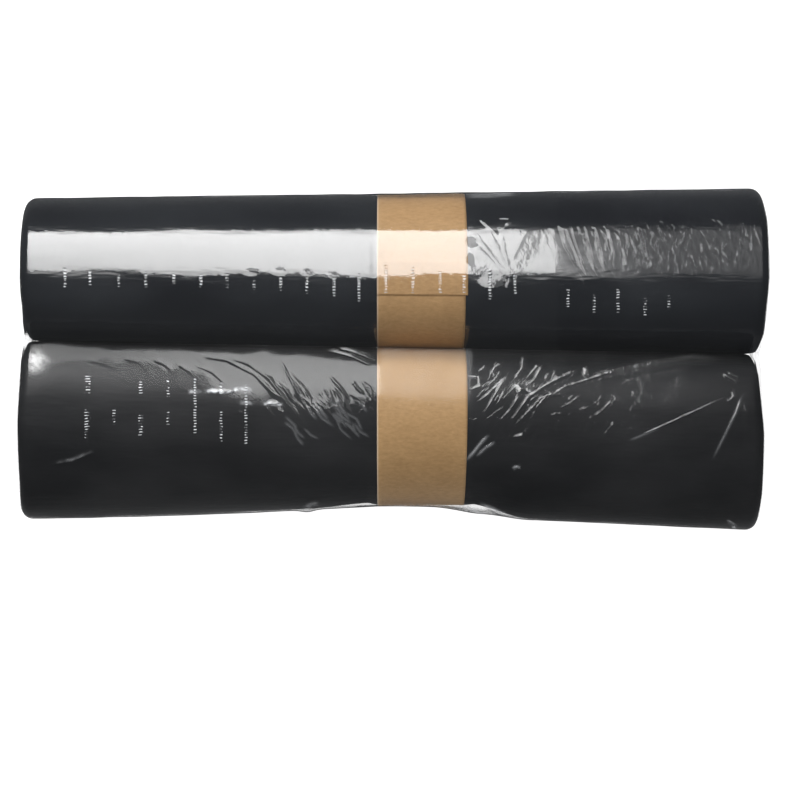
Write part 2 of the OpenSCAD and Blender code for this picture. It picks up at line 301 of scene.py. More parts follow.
def leaving_line(x, s, angle, d):
    """Point and direction of the film where it leaves a roll at an angle."""
    y0, z0 = section(x, s, np.full_like(x, angle), d)
    y1, z1 = section(x, s, np.full_like(x, angle + math.copysign(0.5, angle)), d)
    run = np.hypot(y1 - y0, z1 - z0)
    return y0, z0, (y1 - y0) / run, (z1 - z0) / run


WEB_FULL, WEB_NARROW = 0.55, 0.16


def web(x, s, angle, d, tip_z, t):
    """The film's soft V between the rolls, from where it leaves a roll (t 0) to its tip (t 1)."""
    y0, z0, along, rise = leaving_line(x, s, angle, d)
    z0 = np.maximum(z0, 0)
    reach = y0 * WEB_FULL
    y1, z1 = y0 + along * reach, z0 + rise * reach
    y2, z2 = y0 * WEB_NARROW, tip_z
    u = 1 - t
    y = u ** 3 * y0 + 3 * u * u * t * y1 + 3 * u * t * t * y2
    z = u ** 3 * z0 + 3 * u * u * t * z1 + 3 * u * t * t * z2 + t ** 3 * tip_z
    return y, z


TOP_STEP, SIDE_STEP, LOW_STEP = 2.0, 5.5, 9.5
SIDE_FROM, LOW_FROM = 22, -60
film_angles = spread((-LIFT_ANGLE, LOW_FROM, LOW_STEP), (LOW_FROM, SIDE_FROM, SIDE_STEP),
                     (SIDE_FROM, WEB_ANGLE, TOP_STEP))
DIP_POINTS, LIFT_POINTS = 15, 4
dip_shares = np.linspace(0, 1, DIP_POINTS + 1)[1:]
lift_shares = np.linspace(0, 1, LIFT_POINTS + 1)[1:]

# Each column of the film's grid: which part it is on, which roll, and its angle or share.
# The first is the line under the pack, between the rolls, where the grid's seam is hidden.
columns = (
    [("lift", REAR, t) for t in lift_shares[::-1]]
    + [("roll", REAR, a) for a in film_angles]
    + [("dip", REAR, t) for t in dip_shares]
    + [("dip", FRONT, t) for t in dip_shares[-2::-1]]
    + [("roll", FRONT, a) for a in film_angles[::-1]]
    + [("lift", FRONT, t) for t in lift_shares[:-1]]
)


def between_rolls(x):
    """Where a station lies on the line between the rolls."""
    return x + np.where(x > 0, 0.0, stagger(x, FRONT))


def film_rings(x, d, low):
    """The film's rings at stations x, grown by d: an array of stations x columns x 3."""
    rings = np.empty((len(x), len(columns), 3))
    top = np.minimum(section(x, REAR, np.full_like(x, WEB_ANGLE), d)[1],
                     section(x, FRONT, np.full_like(x, WEB_ANGLE), d)[1])
    under = np.maximum(section(x, REAR, np.full_like(x, -LIFT_ANGLE), d)[1],
                       section(x, FRONT, np.full_like(x, -LIFT_ANGLE), d)[1])
    for k, (part, s, value) in enumerate(columns):
        if part == "roll":
            y, z = section(x, s, np.full_like(x, value), d)
            place = x + stagger(x, s)
        else:
            angle = WEB_ANGLE if part == "dip" else -LIFT_ANGLE
            tip = top - WEB_DIP if part == "dip" else np.maximum(under, low) + WEB_LIFT
            y, z = web(x, s, angle, d, tip, value)
            place = mix(x + stagger(x, s), between_rolls(x), value)
        rings[:, k, 0] = place
        rings[:, k, 1] = crease(x) + s * y
        rings[:, k, 2] = np.maximum(z, low)
    return rings


FILM_RIM_RINGS, FILM_CAP_RINGS = 7, 19


def film_end(end_x, inward, d):
    """Rings from the middle of an end out to its rim and round the rim's rounding."""
    radius = END_ROUND + d
    turns = np.radians(np.linspace(0, 90, FILM_RIM_RINGS))
    rim = [film_rings(np.array([end_x - inward * d + inward * radius * (1 - math.cos(t))]),
                      d - radius * (1 - math.sin(t)), radius * (1 - math.sin(t)))[0]
           for t in turns]
    edge = rim[0]
    dip = columns.index(("dip", REAR, 1.0))
    lift = columns.index(("lift", REAR, 1.0))
    centre = (edge[dip] + edge[lift]) / 2
    around = np.arange(len(columns)) / len(columns)
    gathers = (np.cos(np.pi * GATHER_COUNT * around + 2.2 * np.sin(9 * around))) ** 2
    cap = []
    for share in np.linspace(0, 1, FILM_CAP_RINGS)[:-1]:
        ring = mix(centre, edge, share)
        gathered = GATHER_H * gathers * ease(share / 0.5) * (1 - ease((share - 0.8) / 0.2))
        ring[:, 0] = mix(centre[0], edge[:, 0], ease(share / 0.45)) - inward * gathered
        cap.append(ring)
    return cap + rim


BODY_STEP = 1.6
body_stations = spread((ROLL_LEFT + END_ROUND + 1, ROLL_RIGHT - END_ROUND - 1, BODY_STEP))

film_shape = drawn_out(np.array(
    film_end(ROLL_LEFT, 1, SKIN)
    + list(film_rings(body_stations, SKIN, 0.0))
    + film_end(ROLL_RIGHT, -1, SKIN)[::-1]))


def between_rings(rings, row, column):
    """The surface at any row and column, on a smooth curve through the four nearest each way."""
    def shares(t):
        return ((-t + 2 * t ** 2 - t ** 3) / 2, (2 - 5 * t ** 2 + 3 * t ** 3) / 2,
                (t + 4 * t ** 2 - 3 * t ** 3) / 2, (-t ** 2 + t ** 3) / 2)

    row_from, column_from = np.floor(row).astype(int), np.floor(column).astype(int)
    place = np.zeros((len(row), 3))
    for i, row_share in enumerate(shares(row - row_from)):
        for k, column_share in enumerate(shares(column - column_from)):
            at_row = np.clip(row_from + i - 1, 0, len(rings) - 1)
            at_column = (column_from + k - 1) % rings.shape[1]
            place += (row_share * column_share)[:, None] * rings[at_row, at_column]
    return place


# The film's folds, laid out as they are seen from above

SOFT_SIDE = 1.8


def fold_profile(u, v, line, half_width):
    """1 along a bent line, falling to 0 at half_width on its steep side and further on the other."""
    best = np.zeros_like(u)
    lengths = [math.dist(a, b) for a, b in zip(line, line[1:])]
    total, done = sum(lengths), 0.0
    for (ax, ay), (bx, by), length in zip(line, line[1:], lengths):
        dx, dy = (bx - ax) / length, (by - ay) / length
        run = np.clip((u - ax) * dx + (v - ay) * dy, 0, length)
        off = np.hypot(u - ax - run * dx, v - ay - run * dy)
        beside = (u - ax) * dy - (v - ay) * dx
        reach = half_width * np.where(beside > 0, SOFT_SIDE, 1.0)
        place = (done + run) / total
        taper = ease(place / 0.25) * ease((1 - place) / 0.3)
        best = np.maximum(best, taper * np.clip(1 - off / reach, 0, 1) ** 1.5)
        done += length
    return best


def strokes(seed, count, area, lean, length, half_width, height, gloss):
    """Seeded short folds in an area of the photo's frame, leaning down to the right by degrees."""
    rng = np.random.default_rng(seed)
    folds = []
    for _ in range(count):
        x, y = rng.uniform(area[0], area[2]), rng.uniform(area[1], area[3])
        turn = math.radians(rng.normal(*lean))
        half = rng.uniform(*length) / 2
        bend = rng.uniform(-0.35, 0.35) * half
        dx, dy = math.cos(turn), math.sin(turn)
        line = [(x - dx * half, y - dy * half), (x - dy * bend, y + dx * bend),
                (x + dx * half, y + dy * half)]
        folds.append((line, rng.uniform(*half_width), rng.uniform(*height), gloss))
    return folds


# Folds that are milky too
SCRATCH = [(53, 463), (72, 460), (95, 450)]
SHOULDER_FOLD = [(489, 434), (481, 442), (474, 451), (465, 461)]
SHORT_SHOULDER_FOLD = [(496, 441), (486, 447), (475, 457)]
NICK = [(519, 466), (512, 467)]
CORNER_FOLD = [(743, 393), (736, 412), (724, 436), (711, 462)]
# Each fold: its line in the photo's frame, half width in pixels, height in millimetres, and gloss
FOLDS = [
    # web and front roll, left of the band
    ([(84, 359), (104, 364), (124, 372)], 3.0, 0.3, 0),
    ([(120, 357), (140, 363), (154, 378)], 3.0, 0.34, 0),
    ([(150, 358), (166, 365), (180, 382)], 3.0, 0.38, 0),
    ([(174, 362), (190, 372), (205, 392)], 3.0, 0.38, 0),
    ([(192, 364), (212, 372), (228, 386)], 2.8, 0.27, 0),
    ([(190, 355), (226, 360), (254, 374), (276, 396), (296, 414)], 2.8, 0.32, 0),
    ([(210, 354), (246, 363), (269, 379), (282, 397), (300, 420), (333, 448)], 2.8, 0.46, 0),
    ([(274, 352), (287, 373), (300, 397), (313, 420), (341, 445)], 2.0, 0.35, 0),
    ([(280, 361), (298, 384), (310, 404), (328, 425), (360, 452)], 2.2, 0.32, 0),
    ([(318, 389), (334, 410), (366, 448)], 2.4, 0.35, 0),
    ([(341, 386), (346, 407), (366, 434)], 2.0, 0.3, 0),
    ([(326, 383), (332, 400), (346, 418)], 2.0, 0.27, 0),
    ([(284, 404), (300, 426), (318, 444)], 2.2, 0.45, 0.4),
    ([(262, 402), (276, 420), (292, 438)], 2.2, 0.4, 0.4),
    ([(236, 408), (250, 422), (262, 434)], 2.2, 0.35, 0.3),
    ([(326, 350), (352, 357), (376, 368)], 2.2, 0.4, 0.8),
    ([(336, 348), (356, 353), (377, 361)], 2.2, 0.35, 0.8),
    ([(350, 392), (367, 406), (378, 424)], 2.4, 0.3, 0.3),
    ([(352, 420), (367, 406), (378, 392)], 2.4, 0.3, 0.3),
    ([(367, 390), (367, 406), (364, 426)], 2.4, 0.25, 0.3),
    (SCRATCH, 2.0, 0.8, 0.6),
    ([(31, 422), (38, 437), (40, 452)], 2.2, 0.27, 0.2),
    ([(206, 391), (222, 392), (236, 391)], 2.6, 0.35, 1.2),
    ([(266, 404), (281, 404)], 2.4, 0.35, 1.2),
    # front roll, right of the band
    ([(468, 387), (473, 389), (480, 386), (479, 377), (471, 376), (468, 381)], 1.7, 0.35, 1),
    ([(509, 373), (498, 389), (479, 423)], 2.2, 0.5, 1),
    ([(506, 376), (488, 394), (475, 404)], 2.0, 0.45, 1),
    ([(502, 392), (490, 406), (482, 420)], 1.8, 0.35, 0.8),
    ([(521, 392), (510, 410), (502, 419), (494, 431)], 2.2, 0.6, 1),
    ([(529, 395), (520, 408), (512, 421), (505, 433)], 2.2, 0.6, 0.8),
    (SHOULDER_FOLD, 2.4, 0.9, 1),
    (SHORT_SHOULDER_FOLD, 2.0, 0.8, 1),
    ([(534, 419), (529, 428), (522, 435), (508, 439)], 3.0, 0.9, 1),
    ([(523, 355), (522, 368), (513, 381)], 1.6, 0.4, 1),
    ([(524, 386), (534, 381), (541, 368), (537, 366), (524, 381)], 1.7, 0.4, 1),
    ([(537, 392), (526, 389), (512, 385)], 4.4, 0.45, 1),
    ([(583, 368), (570, 373), (547, 384), (529, 396), (514, 417), (498, 427)], 2.6, 0.55, 1),
    ([(640, 366), (604, 374), (566, 386), (540, 402), (516, 428)], 2.2, 0.4, 0.7),
    ([(570, 394), (547, 395), (537, 407), (529, 425), (522, 435), (509, 439)], 2.4, 0.55, 1),
    ([(560, 389), (541, 398), (526, 414), (505, 436)], 2.0, 0.6, 0.8),
    ([(589, 371), (582, 370)], 4.0, 0.5, 1.2),
    ([(732, 360), (691, 358), (640, 366), (604, 373), (570, 384)], 4.5, 0.3, 0.4),
    ([(700, 366), (650, 375), (606, 386)], 5, 0.25, 0.2),
    ([(467, 434), (472, 430), (473, 421), (467, 415)], 1.7, 0.35, 0.8),
    ([(502, 362), (494, 368), (488, 378)], 1.8, 0.3, 0.7),
    ([(486, 366), (478, 372)], 1.8, 0.3, 0.6),
    ([(592, 414), (589, 424), (584, 434)], 2.6, 0.6, 0.6),
    ([(616, 420), (608, 430), (600, 440)], 2.6, 0.7, 0.6),
    ([(614, 398), (603, 410), (590, 420)], 3.0, 0.5, 0.4),
    ([(582, 394), (568, 404), (556, 410)], 2.4, 0.3, 0.4),
    ([(643, 372), (641, 400), (634, 428)], 10, 0.25, 0.15),
    ([(690, 366), (674, 390), (656, 416)], 13, 0.3, 0.1),
    ([(620, 392), (612, 404), (603, 416)], 8, 0.4, 0.2),
    ([(730, 395), (697, 410), (662, 426), (627, 441)], 1.4, 0.5, 1),
    ([(731, 391), (734, 396), (729, 401), (726, 397)], 1.6, 0.4, 1),
    (CORNER_FOLD, 1.8, 0.75, 1),
    ([(737, 382), (722, 373)], 1.8, 0.45, 1.2),
    ([(739, 378), (727, 372)], 1.5, 0.35, 1),
    ([(750, 458), (747, 437), (745, 394)], 3, 0.35, 0.2),
    (NICK, 2, 0.4, 1),
    ([(495, 517), (480, 510), (464, 503)], 2.0, 0.5, 1),
    ([(505, 515), (494, 508), (484, 502)], 2.0, 0.45, 1),
    # rear roll, right of the band
    ([(471, 228), (486, 248), (508, 276)], 1.8, 0.05, -0.8),
    ([(484, 222), (497, 246), (510, 274)], 2.2, 0.07, -0.9),
    ([(501, 230), (504, 250), (510, 274)], 2.2, 0.06, -0.9),
    ([(527, 230), (518, 248), (510, 264)], 1.8, 0.05, -0.8),
    ([(470, 240), (488, 257), (506, 277)], 1.7, 0.05, -0.8),
    ([(493, 217), (513, 219), (501, 226)], 2.4, 0.25, 0),
    ([(476, 216), (490, 228), (499, 236)], 2.0, 0.28, 0),
    ([(510, 278), (507, 288), (509, 298)], 1.8, 0.4, 0),
    ([(555, 216), (558, 230), (563, 246), (576, 268), (590, 292)], 2.4, -0.4, 0),
    ([(561, 236), (568, 250), (577, 270)], 2.0, 0.3, 0),
    ([(570, 214), (575, 240), (584, 264), (598, 288)], 2.2, 0.45, 0),
    ([(582, 212), (589, 240), (594, 262), (606, 288)], 2.2, 0.45, 0),
    ([(592, 212), (599, 240), (605, 262), (620, 290)], 2.2, 0.45, 0),
    ([(606, 218), (612, 240), (616, 258)], 2.0, 0.25, 0),
    ([(566, 226), (573, 246), (582, 268)], 2.0, 0.2, 0),
    ([(686, 230), (684, 240), (680, 247)], 1.8, 0.35, 0),
    ([(702, 240), (720, 250), (737, 263)], 1.6, 0.22, 0),
    ([(708, 218), (718, 220), (730, 227)], 1.6, 0.25, 0),
    ([(733, 236), (724, 248), (716, 256)], 1.6, 0.2, 0),
    ([(752, 212), (750, 232), (741, 250)], 2.0, 0.4, 0),
    ([(753, 216), (757, 234), (764, 250)], 2.0, 0.4, 0),
    ([(750, 220), (752, 240), (752, 254)], 2.0, 0.35, 0),
    ([(741, 216), (746, 228), (749, 244)], 1.8, 0.3, 0),
]
# Finer folds: seed, count, area, lean, length, half width, height and gloss
FOLDS += strokes(11, 66, (606, 222, 760, 274), (58, 40), (5, 14), (1.5, 2.2), (0.05, 0.12), 0)
FOLDS += strokes(12, 44, (572, 214, 750, 236), (38, 16), (7, 16), (1.5, 2.2), (0.08, 0.2), 0)
FOLDS += strokes(13, 34, (470, 370, 556, 440), (128, 14), (10, 28), (1.5, 2.1), (0.15, 0.35), 0.6)
FOLDS += strokes(14, 22, (516, 424, 566, 456), (140, 40), (5, 14), (1.5, 2.1), (0.05, 0.14), 0.2)
FOLDS += strokes(15, 22, (556, 390, 640, 436), (122, 12), (8, 20), (1.8, 2.8), (0.15, 0.45), 0.3)
FOLDS += strokes(16, 24, (276, 386, 372, 412), (50, 8), (18, 40), (1.6, 2.4), (0.15, 0.42), 0.5)
LOW_FOLDS = strokes(21, 24, (290, 406, 368, 440), (50, 7), (16, 34), (1.5, 2.0), (0.2, 0.4), 0.4)
FOLDS += LOW_FOLDS
FOLDS += strokes(17, 12, (352, 388, 378, 426), (80, 50), (6, 16), (1.6, 2.2), (0.1, 0.2), 0.2)
FOLDS += strokes(18, 18, (70, 362, 210, 386), (34, 12), (12, 30), (2.0, 3.0), (0.1, 0.24), 0)
FOLDS += strokes(19, 14, (676, 408, 708, 442), (128, 14), (8, 16), (1.6, 2.4), (0.08, 0.2), 0.2)
# Dents and bulges: middle, half width and half height in pixels, and rise in millimetres
DENTS = [
    ((474.5, 242), 6, 6, -0.9), ((474.5, 259.5), 6, 6, -0.9),
    ((490, 292), 27, 16, 0.85),
    ((325, 418), 56, 26, 1.2), ((246, 412), 40, 22, 0.8),
    ((251, 272), 9, 4, -0.3), ((280, 271), 8, 4, -0.28), ((307, 273), 6, 3.5, -0.22),
    ((333, 275), 6, 3.5, -0.2), ((225, 271), 7, 3.5, -0.18), ((147, 270), 6, 3.5, -0.18),
    ((201, 270), 6, 3, -0.14), ((174, 269), 6, 3, -0.12), ((106, 231), 4, 2.5, -0.18),
]
# Columns of vent slits: where each crosses the photo's frame, and from where to where
VENTS = [
    (65, 268, 287), (90, 272, 284), (119, 277, 286), (146, 273, 286), (174, 275, 283),
    (201, 274, 286), (227, 274, 287), (254, 280, 291), (281, 279, 289), (307, 279, 292),
    (334, 279, 296), (359, 275, 300), (386, 264, 292), (413, 268, 293), (440, 273, 293),
    (464, 276, 293), (490, 271, 298), (515, 276, 293), (568, 291, 306), (594, 297, 312),
    (618, 290, 312), (645, 300, 314), (669, 297, 308),
    (89, 377, 392), (86, 410, 438), (114, 410, 423), (142, 380, 393), (140, 416, 435),
    (168, 380, 397), (168, 413, 424), (195, 380, 396), (195, 400, 433), (221, 384, 393),
    (221, 412, 440), (246, 387, 405), (246, 405, 443),
]
VENT_REACH, VENT_FADE = 6, 3
ROLLS_MEET_V = 350
UP_RUN = 12.0


def near_line(u, v, line, reach):
    xs, ys = [p[0] for p in line], [p[1] for p in line]
    return ((u > min(xs) - reach) & (u < max(xs) + reach)
            & (v > min(ys) - reach) & (v < max(ys) + reach))


def facing_up(spots, below=0.0):
    """1 on the pack's top, fading to 0 at its middle height, or so far below it."""
    return ease((spots[:, 2] - middle_height(spots[:, 0]) + below) / UP_RUN)


def fold_heights(u, v):
    """How far every fold and dent lifts the film, for places in the photo's frame."""
    rise, sink = np.zeros_like(u), np.zeros_like(u)
    for line, half_width, height, _ in FOLDS:
        near = near_line(u, v, line, half_width * SOFT_SIDE)
        profile = height * fold_profile(u[near], v[near], line, half_width)
        rise[near] = np.maximum(rise[near], profile)
        sink[near] = np.minimum(sink[near], profile)
    for spot, half_width, half_height, height in DENTS:
        off = np.hypot((u - spot[0]) / half_width, (v - spot[1]) / half_height)
        sink += height * (1 - ease(off))
    return rise + sink


def worth_cutting(spots, widest, margin):
    """True close to the folds that are at most so wide."""
    u, v = seen_from_above(*spots.T)
    close = np.zeros(len(u), dtype=bool)
    for line, half_width, _, _ in FOLDS:
        if half_width > widest:
            continue
        reach = half_width + margin
        near = near_line(u, v, line, reach)
        close[near] |= fold_profile(u[near], v[near], line, reach) > 0
    return close & (facing_up(spots) > 0)


# Each finer cut of the film's grid: the widest folds that get it, and how far beside them
CUTS = ((9, 3.0), (3.6, 1.2))


def make_film():
    mesh, whereabouts = flat_grid(len(film_shape), len(columns) + 1)
    for widest, margin in CUTS:
        cut_finer(mesh, worth_cutting(between_rings(film_shape, *whereabouts()), widest, margin))
    return close_up(to_piece("film", mesh, between_rings(film_shape, *whereabouts())))


film = make_film()

# Every point of the plain film, where it shows in the photo's frame, and which way it faces
spots = points_of(film)
u, v = seen_from_above(*spots.T)
up = facing_up(spots)
on_front = spots[:, 1] < crease(spots[:, 0])
normals = np.empty(len(spots) * 3)
film.data.vertices.foreach_get("normal", normals)
normals = normals.reshape(-1, 3)

RIPPLE_H, RIPPLE_LEN = 0.1, 26
# Where the film stands off the front roll's waist: place along the pack, half length and height
STAND_OFFS = ((37, 13, 2.4), (-41, 4, 1.0))
FRONT_SIDE_Y = -40


def wrinkle_film():
    """Lifts the film's folds and ripples, and stands it off the front roll's waist."""
    x, y, z = spots.T
    ripple = RIPPLE_H * rolling_noise(x, y + z, 5, RIPPLE_LEN)
    lift = fold_heights(u, v) * up + ripple * ease(z / 10)
    outwards = ease((-normals[:, 1] - 0.3) / 0.5) * (y < FRONT_SIDE_Y)
    lift += outwards * sum(height * np.exp(-((x - middle) / half) ** 2)
                           for middle, half, height in STAND_OFFS)
    moved = spots + normals * lift[:, None]
    moved[:, 2] = np.maximum(moved[:, 2], 0)
    move_points(film, moved)


def paint_vents():
    """Where the vent slits are, and how far each place is from its column."""
    vent_share, vent_off = np.zeros(len(u)), np.full(len(u), 1e3)
    for vent_u, top, bottom in VENTS:
        off = u - vent_u
        share = ease((v - top + VENT_FADE) / VENT_FADE) * ease((bottom + VENT_FADE - v) / VENT_FADE)
        vent_share = np.maximum(vent_share, share * (np.abs(off) < VENT_REACH))
        same_roll = on_front == (top > ROLLS_MEET_V)
        nearer = same_roll & (np.abs(off) < np.abs(vent_off))
        vent_off[nearer] = off[nearer]
    paint(film, "vents", vent_share * up)
    paint(film, "vent_off", np.clip(vent_off, -30, 30))


wrinkle_film()
paint_vents()


def spot_on(middle, half_width, half_height):
    """1 at a place in the photo's frame, fading to 0 round it."""
    off = np.hypot((u - middle[0]) / half_width, (v - middle[1]) / half_height)
    return 1 - ease((off - 0.5) * 2)


def fold_mask():
    """How much glossier the film is along its folds, or duller where it is less than 0."""
    mask = np.zeros_like(u)
    for line, half_width, height, gloss in FOLDS:
        near = near_line(u, v, line, half_width * SOFT_SIDE)
        profile = fold_profile(u[near], v[near], line, half_width * 1.2)
        share = profile * gloss * min(1.0, abs(height) / 0.3)
        keep = np.minimum if gloss < 0 else np.maximum
        mask[near] = keep(mask[near], share)
    return mask


# How film that is drawn tight lies left of the band, as the photo's frame shows it: along u, the
# rows of its lower and upper edges
DRAWN_LOWER = ((30, 45, 66, 112, 135, 162, 181, 197, 210, 227, 250, 272, 300, 353, 371),
               (372, 366, 360, 361, 363, 367, 370, 375, 383, 389, 392, 398, 406, 406, 398))
DRAWN_UPPER = ((30, 43, 77, 112, 149, 238, 272, 318, 364, 374),
               (338, 342, 346, 350, 349, 353, 353, 357, 362, 365))
# Along u, how many rows its lower edge fades over, and its share of the full gloss
DRAWN_FADE = ((200, 300), (7, 30))
DRAWN_GLOSS = ((90, 180), (0.36, 0.52))
BELOW_DRAWN_U = 190
BRIGHT_END_U, BRIGHT_END_V = 34, 361
BRIGHT_PATCH_U, BRIGHT_PATCH_V = 522, 387
LEFT_NOTCH, RIGHT_NOTCH = (24, 341), (757, 350)
FRONT_CRINKLES, REAR_CRINKLES = (590, 405), (690, 245)
# Where the rear roll's film turns from clear to satin, and is fully so
SATIN_U, FULL_SATIN_U = 556, 600
# Shares of the film's full gloss
CLINGING, OVER_FRONT_BAND, BELOW_DRAWN = 0.05, 0.4, 0.2
BRIGHT_END, BRIGHT_PATCH, ALONG_FOLDS = 2.4, 1.1, 1.6
SATIN_LOSS, FULL_SATIN_LOSS, OVER_REAR_BAND, NOTCH_LOSS = 0.56, 0.14, 0.2, 0.9

left_of_band = 1 - ease((spots[:, 0] - BAND_X + 2) / 6)
over_band = under_band(spots[:, 0])
lower_edge, upper_edge = np.interp(u, *DRAWN_LOWER), np.interp(u, *DRAWN_UPPER)
fade = np.interp(u, *DRAWN_FADE)
drawn = 1 - ease((v - lower_edge + 3 + 2 * rolling_noise(u, v, 8, 30)) / fade)
drawn *= ease((v - upper_edge + 2 + rolling_noise(u, v, 7, 30)) / 4)
below_drawn = ((1 - ease((v - lower_edge - 1) / 28)) * ease((v - upper_edge) / 4)
               * (1 - ease((u - BELOW_DRAWN_U) / 60)))
off_end = ((u - BRIGHT_END_U) / 12) ** 2 + ((v - BRIGHT_END_V) / 10) ** 2
bright_end = np.exp(-off_end ** 1.5) * np.clip(0.85 + 0.4 * rolling_noise(u, v, 9, 9), 0, 1)
bright_patch = np.exp(-((u - BRIGHT_PATCH_U) / 12) ** 2 - ((v - BRIGHT_PATCH_V) / 5.5) ** 2)
folded = fold_mask()


def paint_gloss():
    """How much of its full gloss the film shows: little where it clings to the front roll, more
    where it is drawn tight, and all of it along the folds."""
    drawn_gloss = np.interp(u, *DRAWN_GLOSS) * drawn
    drawn_gloss = np.maximum(drawn_gloss, BELOW_DRAWN * below_drawn)
    front_share = np.where(left_of_band > 0.5, CLINGING + drawn_gloss + BRIGHT_END * bright_end,
                           np.where(over_band > 0.5, OVER_FRONT_BAND, CLINGING))
    front_share = np.maximum(front_share + BRIGHT_PATCH * bright_patch,
                             np.minimum(ALONG_FOLDS * folded, 1.0))
    duller = (SATIN_LOSS * ease((u - SATIN_U + 1) / 5)
              + FULL_SATIN_LOSS * ease((u - FULL_SATIN_U) / 50))
    rear_share = (1.0 - duller * up + OVER_REAR_BAND * over_band
                  + ALONG_FOLDS * np.minimum(folded, 0))
    # next to nothing shines in the notches between the rolls' ends
    notches = np.maximum(spot_on(RIGHT_NOTCH, 26, 18), spot_on(LEFT_NOTCH, 12, 9))
    gloss_share = np.where(on_front, mix(1.0, front_share, up), rear_share)
    paint(film, "gloss_share", gloss_share * (1 - NOTCH_LOSS * notches))


def paint_slack():
    """Film is smooth where it is drawn tight, rougher where it is slack and finely crinkled."""
    satin = (0.2 * ease((u - SATIN_U) / 4) + 0.35 * ease((u - FULL_SATIN_U) / 30)) * up
    drawn_tight = left_of_band * np.maximum(drawn, bright_end)
    slack = mix(1.0, 0.22, drawn_tight) * up * (1 - 0.8 * bright_patch)
    paint(film, "slack", np.where(on_front, slack * np.clip(1 - 2.2 * folded, 0.0, 1), satin))
    crinkled = np.maximum(0.7 * spot_on(FRONT_CRINKLES, 150, 60), spot_on(REAR_CRINKLES, 130, 44))
    paint(film, "crinkle", up * np.clip(0.04 + crinkled, 0, 1))


# Film that stands off the roll looks milky along its creases. Each: share, line and half width.
MILKY_CREASES = [
    (0.5, [(462, 500), (474, 506), (486, 512), (498, 518)], 1.6),
    (0.4, [(480, 500), (494, 507), (508, 516)], 1.5),
    (0.25, [(466, 508), (480, 513), (500, 518), (520, 520)], 2.2),
    (0.25, [(302, 508), (310, 503), (320, 503)], 1.6),
    (0.35, SHOULDER_FOLD, 1.8),
    (0.25, SHORT_SHOULDER_FOLD, 1.6),
    (0.4, NICK, 1.6),
    (0.16, CORNER_FOLD, 1.5),
    (0.12, [(662, 426), (640, 436), (627, 441)], 1.5),
    (0.5, [(728, 520), (732, 524), (736, 531)], 1.4),
]
MILKY_CREASES += [(0.09, line, half_width) for line, half_width, _, _ in LOW_FOLDS]
# Short bright streaks on the front roll where the vent slits catch the lamp: painted glints
GLINT_STREAKS = [
    (0.9, [(203, 391), (222, 392), (236, 391)], 2.8),
    (0.9, [(228, 390), (242, 390), (254, 391)], 2.6),
    (0.6, [(187, 392), (195, 392), (203, 393)], 2.0),
    (0.9, [(262, 404), (273, 404), (284, 405)], 2.6),
    (0.5, [(238, 403), (246, 403), (254, 404)], 1.8),
]
MILKY_SCRATCH = [(0.18, SCRATCH, 1.7)]
MILKY_REAR_EDGE = [
    (0.5, [(304, 195), (340, 194), (378, 193)], 1.8),
    (0.35, [(462, 196), (490, 196), (520, 193)], 2.4),
]


def milk_along(creases):
    """The share of milk along the lines, fading to 0 beside them."""
    milk_and_glints = np.zeros_like(u)
    for share, line, half_width in creases:
        near = near_line(u, v, line, half_width * SOFT_SIDE)
        streak = share * fold_profile(u[near], v[near], line, half_width)
        milk_and_glints[near] = np.maximum(milk_and_glints[near], streak)
    return milk_and_glints


def broken(size):
    """Uneven from place to place, from 0.15 to 1."""
    return np.clip(0.6 + 0.6 * rolling_noise(u, v, 21, size), 0.15, 1)


def paint_milk():
    # The milk share, with the painted glints of the streaks on the front roll
    milk_and_glints = np.maximum.reduce([
        milk_along(MILKY_CREASES), broken(7) * milk_along(GLINT_STREAKS),
        broken(12) * milk_along(MILKY_SCRATCH), up ** 2 * milk_along(MILKY_REAR_EDGE)])
    paint(film, "milk_and_glints", facing_up(spots, UP_RUN) * milk_and_glints)


paint_gloss()
paint_slack()
paint_milk()
paint(film, "upward", up)


# The rolls

ROLL_AROUND = 180
TURN_GROOVES = 6
TURN_DEPTH, EYE_DEPTH = 0.7, 4.0
# How much nearer to the film's ends the rolls come than the solids do
CLOSER = 0.35
# The eye of each roll, as a share of the roll's width from the crease
EYE_AT = 0.46
END_RINGS, RIM_RINGS = 60, 8
BODY_SPACING, WAIST_SPACING = 2.2, 1.0
# The film hides most of the rear roll's neck
REAR_NECK = 0.3


def roll_end(end_x, s, inward):
    """Rings from the eye of the roll out to its rim, stepped by the turns, then the rounding."""
    angle = np.linspace(0, 360, ROLL_AROUND + 1)
    here = np.full_like(angle, end_x)
    fuller = 1 - 0.75 * ease((-np.cos(np.radians(angle)) - 0.3) / 0.4)
    rim = [roll_point(here + inward * END_ROUND * (1 - math.cos(t)), s, angle,
                      -END_ROUND * (1 - math.sin(t)) * fuller)
           for t in np.radians(np.linspace(0, 90, RIM_RINGS))]
    rim = [np.stack(r, axis=1) for r in rim]
    eye = np.array([rim[0][0, 0], crease(end_x) + s * EYE_AT * roll_width(np.array(end_x), s),
                    float(middle_height(np.array(end_x)))])
    rings = []
    for share in np.linspace(0, 1, END_RINGS)[:-1]:
        ring = mix(eye, rim[0], share)
        turns = share * TURN_GROOVES - angle / 360
        groove = TURN_DEPTH * (0.5 - 0.5 * np.cos(math.tau * turns)) ** 2
        pit = EYE_DEPTH * (1 - ease(share / 0.08))
        ring[:, 0] += inward * (groove * ease((1 - share) / 0.08) + pit)
        rings.append(ring)
    return rings + rim


